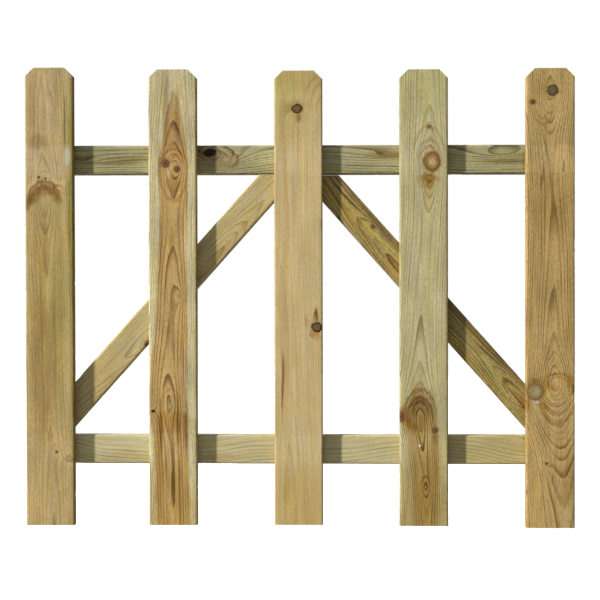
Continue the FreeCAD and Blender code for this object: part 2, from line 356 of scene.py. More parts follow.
def as_object(name, bm):
    """Turns an edited mesh into a smooth object with sharp corners."""
    mesh = bpy.data.meshes.new(name)
    bmesh.ops.recalc_face_normals(bm, faces=bm.faces)
    bm.to_mesh(mesh)
    bm.free()
    for polygon in mesh.polygons:
        polygon.use_smooth = True
    mesh.set_sharp_from_angle(angle=CORNER)
    return in_scene(name, mesh)


timber = {}
for node, bm in blanks.items():
    bmesh.ops.transform(bm, matrix=boards[node].matrix, verts=bm.verts)
    timber[node] = as_object(f"{node}_wood", bm)
    print(node, len(timber[node].data.polygons), "faces")

# %% [markdown]
# ## Holes
# Each screw passes through a rail or a brace by a clearance hole, countersunk at the back so that
# its head lies just under the surface. A pale only has blind pilot holes, which are covered. The
# holes are cut from the boards with turned cutters. The right-hand pale also has a short split,
# cut with a thin lens.

# %% Cut the holes
HOLE, SINK, PROUD, PILOT = 2.1 * MM, 4.2 * MM, 0.5 * MM, 12.25 * MM


def turned(bm, outline, centre=Vector((0, 0, 0))):
    """Spins an outline of (radius, height) points round an axis from the front to the back."""
    path = [bm.verts.new(centre + Vector((radius, along, 0))) for radius, along in outline]
    strokes = [bm.edges.new(pair) for pair in zip(path, path[1:])]
    bmesh.ops.spin(
        bm, geom=path + strokes, cent=centre, axis=(0, 1, 0), dvec=(0, 0, 0),
        angle=math.tau, steps=32, use_merge=True,
    )
    bmesh.ops.remove_doubles(bm, verts=bm.verts, dist=0.01 * MM)


def carve(piece, cutter_mesh):
    """Cuts a piece with a closed cutter and keeps the result as its own mesh."""
    cutter = as_object(f"{piece.name}_cutter", cutter_mesh)
    cut = piece.modifiers.new("cut", "BOOLEAN")
    cut.operation, cut.solver, cut.object = "DIFFERENCE", "EXACT", cutter
    bpy.context.view_layer.update()
    shaped = piece.evaluated_get(bpy.context.evaluated_depsgraph_get())
    mesh = bpy.data.meshes.new_from_object(shaped)
    piece.modifiers.clear()
    piece.data = mesh
    bpy.data.objects.remove(cutter)
    mesh.set_sharp_from_angle(angle=CORNER)


# a drill stands a little proud of the back so that it cuts cleanly
for node, board in boards.items():
    back = board.foot.y + board.depth / 2
    if node in PALES:
        drill = [(0, PROUD), (HOLE, PROUD), (HOLE, -PILOT), (0, -PILOT)]
    else:
        through = -board.depth - PROUD
        countersink = [(0, PROUD), (SINK + PROUD, PROUD), (HOLE, HOLE - SINK)]
        drill = [*countersink, (HOLE, through), (0, through)]
    drills = bmesh.new()
    for pair, places in screw_at.items():
        if node in pair:
            for head in places:
                turned(drills, drill, Vector((head.x, back, head.z)))
    carve(timber[node], drills)
    print(node, "drilled,", len(timber[node].data.polygons), "faces")

SPLIT = boards["pale_5"].matrix @ Vector((24 * MM, boards["pale_5"].front, 657 * MM))
lens = bmesh.new()
bmesh.ops.create_uvsphere(lens, u_segments=24, v_segments=16, radius=1)
placed(lens, scale=(0.9 * MM, 3.5 * MM, 12 * MM), turns=[(3, "Y")], move=SPLIT)
carve(timber["pale_5"], lens)

# %% [markdown]
# ## Screws
# A wood screw is a turned blank with a thread rolled on and a cross punched into its head. The
# blank is a profile spun round the axis. The thread is a small wedge swept in a helix. The cross
# is cut with two tapered bars.

# %% Make one screw
HEAD, SHANK, CORE, RIM = 4 * MM, 2 * MM, 1.4 * MM, 0.15 * MM
LENGTH, POINT, PITCH = 40 * MM, 6 * MM, 1.8 * MM
PLAIN_END, THREAD_START = -13 * MM, -14 * MM
NECK = 0.8 * SHANK
RECESS_WIDE, RECESS_THICK, RECESS_DEEP = 4.6 * MM, 1.0 * MM, 1.8 * MM

blank = bmesh.new()
turned(blank, [
    (0, 0), (HEAD - RIM, 0), (HEAD, -RIM), (SHANK, -HEAD + SHANK), (NECK, -HEAD),
    (NECK, PLAIN_END), (CORE, THREAD_START), (CORE, -LENGTH + POINT), (0, -LENGTH),
])

# the thread's wedge: its foot lies inside the core and its crest at full size
TURNS, STEPS = 11, 14
wedge = bmesh.new()
bmesh.ops.create_circle(wedge, cap_ends=True, radius=1, segments=3)
placed(wedge, scale=(0.42 * MM, 0.45 * MM, 1), turns=[(-90, "Z")])
crest = max(vert.co.x for vert in wedge.verts)
placed(wedge, move=(SHANK - crest, THREAD_START - 0.5 * MM, 0))
bmesh.ops.spin(
    wedge, geom=wedge.verts[:] + wedge.edges[:] + wedge.faces[:], cent=(0, 0, 0),
    axis=(0, 1, 0), dvec=(0, -PITCH / STEPS, 0), angle=math.tau * TURNS, steps=TURNS * STEPS,
)
bmesh.ops.recalc_face_normals(wedge, faces=wedge.faces)
thread_mesh = bpy.data.meshes.new("thread")
wedge.to_mesh(thread_mesh)
wedge.free()

# the cross: two bars that narrow as they go in, cut one after the other
screw = as_object("screw", blank)
for turn in (0, 90):
    bar = bmesh.new()
    bmesh.ops.create_cone(
        bar, cap_ends=True, segments=4, radius1=0.45, radius2=0.7, depth=1,
        matrix=Matrix.Rotation(math.radians(45), 4, "Z"),
    )
    size = (RECESS_WIDE, RECESS_THICK, 2 * RECESS_DEEP)
    placed(bar, scale=size, turns=[(turn, "Z"), (-90, "X")])
    carve(screw, bar)
    print("cross cut:", len(screw.data.polygons), "faces left")
print("one screw:", len(screw.data.polygons) + len(thread_mesh.polygons), "faces")

# %% [markdown]
# ## Sixteen pairs
# The one screw is copied into every pair. Each copy is turned a little differently, as nobody
# lines screws up.

# %% Copy the screws into their pairs
screw_pairs = {}
for number, (node, places) in enumerate(screw_at.items()):
    pair = bmesh.new()
    for side, head in enumerate(places):
        for mesh in (screw.data, thread_mesh):
            before = len(pair.verts)
            pair.from_mesh(mesh)
            pair.verts.ensure_lookup_table()
            fresh = pair.verts[before:]
            turn = Matrix.Rotation(math.radians(37 * number + 61 * side), 4, "Y")
            bmesh.ops.transform(pair, matrix=Matrix.Translation(head) @ turn, verts=fresh)
    screw_pairs[node] = as_object(f"{node}_zinc", pair)
bpy.data.objects.remove(screw)
print("screw pairs:", len(screw_pairs))

# %% [markdown]
# ## Drawing shaders
# The woods below are built from a few node groups. A small helper adds a node, links or sets its
# inputs and hands back its output, so that a shader reads like a sum.

# %% Node helpers
NUMBER, VECTOR, COLOUR = "NodeSocketFloat", "NodeSocketVector", "NodeSocketColor"
ON_FACE = (1.0, 0.0, 1.0)


class Graph:
    """A node tree being drawn. Each method adds nodes and returns the last one's output."""

    def __init__(self, tree):
        self.tree = tree

    def feed(self, sockets, inputs):
        """Links or sets inputs, by name or number."""
        for key, value in inputs.items():
            if isinstance(value, bpy.types.NodeSocket):
                self.tree.links.new(value, sockets[key])
            elif sockets[key].type == "RGBA":
                sockets[key].default_value = (*value, 1)
            else:
                sockets[key].default_value = value

    def node(self, kind, inputs, out=0, **settings):
        made = self.tree.nodes.new("ShaderNode" + kind)
        for name, value in settings.items():
            setattr(made, name, value)
        self.feed(made.inputs, inputs)
        return made.outputs[out]

    def math(self, operation, *values):
        return self.node("Math", dict(enumerate(values)), operation=operation)

    def add(self, a, b):
        return self.math("ADD", a, b)

    def sub(self, a, b):
        return self.math("SUBTRACT", a, b)

    def mul(self, *values):
        product = values[0]
        for value in values[1:]:
            product = self.math("MULTIPLY", product, value)
        return product

    def ramp(self, value, low, high, start=0.0, end=1.0):
        """Goes smoothly from start to end while the value goes from low to high."""
        inputs = {"Value": value, "From Min": low, "From Max": high, "To Min": start, "To Max": end}
        return self.node("MapRange", inputs, interpolation_type="SMOOTHSTEP")

    def hill(self, value, middle, width):
        """One at the middle, falling to nothing a couple of widths away."""
        off = self.math("DIVIDE", self.sub(value, middle), width)
        return self.math("POWER", math.e, self.mul(off, off, -1.0))

    def split(self, vector):
        made = self.tree.nodes.new("ShaderNodeSeparateXYZ")
        self.tree.links.new(vector, made.inputs[0])
        return made.outputs

    def vector(self, x, y, z):
        return self.node("CombineXYZ", {0: x, 1: y, 2: z})

    def vectors(self, operation, *values, out=0):
        return self.node("VectorMath", dict(enumerate(values)), out=out, operation=operation)

    def mapping(self, vector, location, rotation, scale):
        """The vector as seen from a frame with this place, turn and unit."""
        inputs = {"Vector": vector, "Location": location, "Rotation": rotation, "Scale": scale}
        return self.node("Mapping", inputs, vector_type="TEXTURE")

    def noise(self, place, detail=2.0, seed=0.0):
        """Noise from 0 to 1, one feature per unit of the place given."""
        moved = self.vectors("ADD", place, (seed, seed, seed))
        return self.node("TexNoise", {"Vector": moved, "Scale": 1.0, "Detail": detail})

    def grain(self, place, across, along, detail=2.0, seed=0.0):
        """Noise with features so many millimetres wide across the grain and along it."""
        scaled = self.vectors("MULTIPLY", place, (1 / across, 1 / across, 1 / along))
        return self.noise(scaled, detail, seed)

    def stray(self, value, noise, amount):
        """The value, pushed either way by up to half the amount as the noise goes."""
        return self.add(value, self.mul(self.sub(noise, 0.5), amount))

    def mix(self, factor, a, b, blend="MIX"):
        return self.node("Mix", {0: factor, 6: a, 7: b}, out=2, data_type="RGBA", blend_type=blend)

    def tinted(self, colour, tint):
        return self.mix(1.0, colour, tint, blend="MULTIPLY")


def new_group(name, inputs, outputs):
    """An empty node group with named sockets; returns it as a graph with its two ends."""
    tree = bpy.data.node_groups.new(name, "ShaderNodeTree")
    for label, kind in inputs.items():
        tree.interface.new_socket(label, in_out="INPUT", socket_type=kind)
    for label, kind in outputs.items():
        tree.interface.new_socket(label, in_out="OUTPUT", socket_type=kind)
    graph = Graph(tree)
    start = tree.nodes.new("NodeGroupInput").outputs
    end = tree.nodes.new("NodeGroupOutput").inputs
    return graph, start, lambda label, value: tree.links.new(value, end[label])


def use(graph, group, inputs):
    """Adds a group to a graph, sets its inputs and returns its outputs by name."""
    made = graph.tree.nodes.new("ShaderNodeGroup")
    made.node_tree = bpy.data.node_groups[group]
    graph.feed(made.inputs, inputs)
    return made.outputs


def new_material(name):
    """A new material, its graph and the inputs of its shader."""
    material = bpy.data.materials.new(name)
    material.use_nodes = True
    graph = Graph(material.node_tree)
    return material, graph, graph.tree.nodes["Principled BSDF"].inputs


def dress(piece, material):
    piece.data.materials.clear()
    piece.data.materials.append(material)

# %% [markdown]
# ## Growth rings
# A tree is a stack of cones round its pith. A board sawn beside the pith shows the rings as
# lines where the pith runs level with the face, and as tall arches where it leans away. So the
# rings are counted by the distance from a pith line, given by how far it lies to the side and
# behind the face at each height. Slow noise makes the count wander, as no tree is round.

# %% Group: growth rings
graph, given, give = new_group(
    "Growth Rings",
    {"Place": VECTOR, "Pith Side": NUMBER, "Pith Depth": NUMBER, "Ring Width": NUMBER,
     "Wander": NUMBER, "Seed": NUMBER},
    {"Rings": NUMBER},
)
x, y, z = graph.split(given["Place"])
shift = graph.vector(graph.mul(given["Seed"], 100.0), 0.0, 0.0)
seeded = graph.vectors("ADD", given["Place"], shift)
slow = graph.grain(seeded, 38, 210, detail=1.0)
quick = graph.grain(seeded, 9, 60)
aside = graph.sub(x, given["Pith Side"])
behind = graph.sub(given["Pith Depth"], y)
radius = graph.math("SQRT", graph.add(graph.mul(aside, aside), graph.mul(behind, behind)))
count = graph.math("DIVIDE", radius, given["Ring Width"])
count = graph.stray(count, slow, given["Wander"])
give("Rings", graph.stray(count, quick, graph.mul(given["Wander"], 0.22)))

# %% [markdown]
# ## Rings round a knot
# Near a branch the rings bulge outwards along it. On the face that reads as long eyes, pointed
# at the ends, around the knot. The count drops by "Bend" rings at the centre, and the two powers
# make the contours round at the sides and pointed above and below.

# %% Group: bent rings
graph, given, give = new_group(
    "Bent Rings",
    {"Place": VECTOR, "Rings": NUMBER, "Centre": VECTOR, "Reach": VECTOR, "Bend": NUMBER},
    {"Rings": NUMBER},
)
off = graph.vectors("SUBTRACT", given["Place"], given["Centre"])
x, y, z = graph.split(graph.vectors("DIVIDE", off, given["Reach"]))
wide = graph.math("POWER", graph.math("ABSOLUTE", x), 1.7)
high = graph.math("POWER", graph.math("ABSOLUTE", z), 1.25)
swell = graph.math("POWER", math.e, graph.mul(graph.add(wide, high), -1.0))
give("Rings", graph.sub(given["Rings"], graph.mul(swell, given["Bend"])))

# %% [markdown]
# ## Pine
# Each ring is pale wood made in spring that darkens towards a hard line made in autumn, then
# starts again. The rings next to the pith are heartwood, browner than the sapwood outside, which
# has taken up the green of the treatment. Fibres run along the grain as fine streaks. Autumn wood
# is harder and stands a little proud after planing.

# %% Group: planed pine
graph, given, give = new_group(
    "Planed Pine",
    {"Place": VECTOR, "Rings": NUMBER, "Heart Rings": NUMBER, "Heart Edge": NUMBER,
     "Sap Spring": COLOUR, "Sap Autumn": COLOUR, "Heart Spring": COLOUR, "Heart Autumn": COLOUR,
     "Contrast": NUMBER, "Mottle": NUMBER, "Seed": NUMBER},
    {"Colour": COLOUR, "Roughness": NUMBER, "Height": NUMBER},
)
shift = graph.vector(0.0, 0.0, graph.mul(given["Seed"], 900.0))
seeded = graph.vectors("ADD", given["Place"], shift)
part = graph.math("FRACT", given["Rings"])
whole = graph.math("FLOOR", given["Rings"])
year = graph.node("TexWhiteNoise", {"W": whole}, noise_dimensions="1D")
fibre = graph.grain(seeded, 1.6, 42, detail=3.0)
fleck = graph.grain(seeded, 2.4, 7, seed=31.0)
streak = graph.grain(seeded, 6, 120, seed=53.0)
cloud = graph.grain(seeded, 30, 90, detail=3.0, seed=7.0)
hue = graph.grain(seeded, 14, 70, detail=3.0, seed=91.0)
patch = graph.grain(seeded, 22, 75, detail=1.0, seed=17.0)
pores = graph.grain(seeded, 1.1, 7, detail=1.0, seed=67.0)
autumn = graph.mul(
    graph.ramp(part, 0.42, 0.95), graph.ramp(part, 1.0, 0.96),
    graph.ramp(year, 0.0, 1.0, 0.3, 1.0), graph.ramp(fibre, 0.25, 0.7, 0.6, 1.2),
    graph.ramp(patch, 0.3, 0.7, 0.55, 1.3), given["Contrast"],
)
heart = graph.sub(given["Heart Rings"], graph.stray(given["Rings"], cloud, 1.5))
heart = graph.ramp(graph.math("DIVIDE", heart, given["Heart Edge"]), -1.0, 1.0)
spring_wood = graph.mix(heart, given["Sap Spring"], given["Heart Spring"])
autumn_wood = graph.mix(heart, given["Sap Autumn"], given["Heart Autumn"])
colour = graph.mix(autumn, spring_wood, autumn_wood)
shade = graph.mul(
    graph.ramp(fibre, 0.2, 0.8, 0.84, 1.15), graph.ramp(fleck, 0.2, 0.8, 0.83, 1.16),
    graph.ramp(streak, 0.25, 0.75, 0.9, 1.1), graph.ramp(cloud, 0.25, 0.75, 0.87, 1.13),
    graph.ramp(pores, 0.6, 0.7, 1.03, 0.78), graph.ramp(part, 0.0, 0.3, 1.06, 1.0),
)
shade = graph.add(1.0, graph.mul(graph.sub(shade, 1.0), given["Mottle"]))
green = graph.mul(shade, graph.ramp(hue, 0.25, 0.75, 0.975, 1.025))
blue = graph.mul(shade, graph.ramp(hue, 0.25, 0.75, 0.84, 1.16))
give("Colour", graph.tinted(colour, graph.vector(shade, green, blue)))
give("Roughness", graph.ramp(autumn, 0.0, 1.0, 0.74, 0.6))
give("Height", graph.add(graph.mul(autumn, 0.5), graph.mul(fibre, 0.35)))

# %% [markdown]
# ## The knot itself
# A branch has its own rings, much tighter than the trunk's, and a dark line of bark or resin
# round it. The wood beside it is stained. The outline is roughened with noise, since no knot is
# a true ellipse.

# %% Group: knot
graph, given, give = new_group(
    "Knot",
    {"Place": VECTOR, "Colour": COLOUR, "Height": NUMBER, "Centre": VECTOR, "Size": VECTOR,
     "Heart": COLOUR, "Flesh": COLOUR, "Bark": COLOUR, "Bark Share": NUMBER, "Stain": COLOUR,
     "Stain Reach": NUMBER},
    {"Colour": COLOUR, "Height": NUMBER},
)
off = graph.vectors("SUBTRACT", given["Place"], given["Centre"])
inside = graph.vectors("DIVIDE", graph.vectors("MULTIPLY", off, ON_FACE), given["Size"])
rough = graph.grain(given["Place"], 4, 4)
streak = graph.grain(given["Place"], 2, 9)
lumpy = graph.noise(graph.vectors("ADD", inside, given["Centre"]))
rho = graph.vectors("LENGTH", inside, out="Value")
rho = graph.stray(graph.stray(rho, rough, 0.4), lumpy, 0.55)
stain = graph.ramp(rho, given["Stain Reach"], 0.9)
stain = graph.mul(stain, graph.ramp(streak, 0.2, 0.75, 0.25, 1.0))
colour = graph.mix(stain, given["Colour"], given["Stain"])
core = graph.ramp(rho, 1.06, 0.92)
rings = graph.math("FRACT", graph.add(graph.mul(rho, 3.2), graph.mul(rough, 0.8)))
rings = graph.mul(graph.ramp(rings, 0.2, 0.8), graph.ramp(rings, 1.0, 0.85))
body = graph.mix(graph.ramp(rho, 0.15, 0.7), given["Heart"], given["Flesh"])
body = graph.mix(graph.mul(rings, 0.45), body, given["Bark"])
colour = graph.mix(core, colour, body)
bark = graph.mul(graph.hill(rho, 0.95, 0.16), given["Bark Share"])
give("Colour", graph.mix(bark, colour, given["Bark"]))
height = graph.add(given["Height"], graph.mul(core, graph.mul(rings, 0.6)))
give("Height", graph.sub(height, graph.mul(bark, 1.2)))

# %% [markdown]
# ## Stains, streaks, resin and painted edge shading
# Treatment soaks in unevenly, resin weeps, rain dries in patches. The same soft spots also paint
# shade down the pales' right edges and along the right brace's upper edge, and a painted highlight
# along that brace's lower edge. All are soft spots in an ellipse laid on the board at a slant. A
# tint multiplies the wood under it; "Cover" paints over the wood instead, for resin on top.

# %% Group: stain
MARK = {"Place": VECTOR, "Colour": COLOUR, "Tint": COLOUR, "Amount": NUMBER}
OVAL = {**MARK, "Centre": VECTOR, "Size": VECTOR, "Turn": VECTOR, "Ragged": NUMBER}


def in_oval(graph, given):
    """A place measured in a mark's turned ellipse, and its distance: one on the outline."""
    off = graph.mapping(given["Place"], given["Centre"], given["Turn"], given["Size"])
    return off, graph.vectors("LENGTH", graph.vectors("MULTIPLY", off, ON_FACE), out="Value")


graph, given, give = new_group(
    "Stain", {**OVAL, "Softness": NUMBER, "Cover": NUMBER}, {"Colour": COLOUR}
)
off, rho = in_oval(graph, given)
broad = graph.grain(given["Place"], 7, 25, detail=3.0)
fine = graph.grain(given["Place"], 1.5, 7)
jitter = graph.stray(graph.sub(broad, 0.5), fine, 0.7)
rho = graph.add(rho, graph.mul(jitter, given["Ragged"]))
outside = graph.add(1.0, given["Softness"])
mask = graph.ramp(rho, outside, graph.sub(1.0, given["Softness"]))
tinted = graph.tinted(given["Colour"], given["Tint"])
laid = graph.mix(given["Cover"], tinted, given["Tint"])
give("Colour", graph.mix(graph.mul(mask, given["Amount"]), given["Colour"], laid))

# %% [markdown]
# ## Curved lines
# Where rings crowd against a knot they merge into one dark curve. A crescent is the upper half of
# an ellipse's outline, thick at its crown and fading out at its horns.

# %% Group: crescent
graph, given, give = new_group("Crescent", {**OVAL, "Thickness": NUMBER}, {"Colour": COLOUR})
off, rho = in_oval(graph, given)
broad = graph.grain(given["Place"], 6, 14, detail=3.0)
rho = graph.stray(rho, broad, given["Ragged"])
crown = graph.ramp(graph.split(off)["Z"], -0.1, 0.7)
mask = graph.mul(graph.hill(rho, 1.0, given["Thickness"]), crown, given["Amount"])
tinted = graph.tinted(given["Colour"], given["Tint"])
give("Colour", graph.mix(mask, given["Colour"], tinted))

# %% [markdown]
# ## Marks across the board
# Where a rail lies behind a pale the wood dries at its own pace, and the pale shows a faint
# paler bar. It is a level band with soft edges.

# %% Group: band
graph, given, give = new_group(
    "Band", {**MARK, "Low": NUMBER, "High": NUMBER, "Softness": NUMBER}, {"Colour": COLOUR}
)
low, high, soft = given["Low"], given["High"], given["Softness"]
wobble = graph.grain(given["Place"], 6, 20)
level = graph.stray(graph.split(given["Place"])["Z"], wobble, graph.mul(soft, 2.0))
above = graph.ramp(level, graph.sub(low, soft), graph.add(low, soft))
below = graph.ramp(level, graph.add(high, soft), graph.sub(high, soft))
mask = graph.mul(above, below, given["Amount"])
tinted = graph.tinted(given["Colour"], given["Tint"])
give("Colour", graph.mix(mask, given["Colour"], tinted))
print("groups:", ", ".join(group.name for group in bpy.data.node_groups))

# %% [markdown]
# ## What each board looks like
# Every board is its own piece of tree, so each has its own pith line, knots, colours and stains,
# written as plain values in its own frame in millimetres. "side" and "depth" place the pith at
# chosen heights, "bends" are places where the rings swell without a knot at the face. Each row
# of "bands", "stains_and_edge_shading" and "crescents" holds the values that the function of
# that kind takes, in their order. Long narrow strips down the pales' right edges and along the
# right brace's upper edge are painted shade; the one along that brace's lower edge is a painted
# highlight. Tints are in percent of the wood's own colour.

# %% Woods
def mark(x, z, wide, high, tint, ragged, amount, turn):
    return {
        "Centre": (x, 0, z), "Size": (wide, 1, high), "Turn": (0, math.radians(turn), 0),
        "Tint": [share / 100 for share in tint], "Ragged": ragged, "Amount": amount,
    }


def stain(x, z, wide, high, tint, soft=0.6, ragged=0.35, amount=0.8, turn=0, cover=0):
    """A soft elliptical patch: centre, half width and half height, tint, and how it is laid."""
    return {**mark(x, z, wide, high, tint, ragged, amount, turn), "Softness": soft, "Cover": cover}


def crescent(x, z, wide, high, tint, thick=0.1, amount=0.8, turn=0, ragged=0.2):
    """A curved line: the upper half of an ellipse's outline, turned over with a turn of 180."""
    return {**mark(x, z, wide, high, tint, ragged, amount, turn), "Thickness": thick}


def band(low, high, soft, tint, amount):
    """A level bar between two heights."""
    tint = [share / 100 for share in tint]
    return {"Low": low, "High": high, "Softness": soft, "Tint": tint, "Amount": amount}


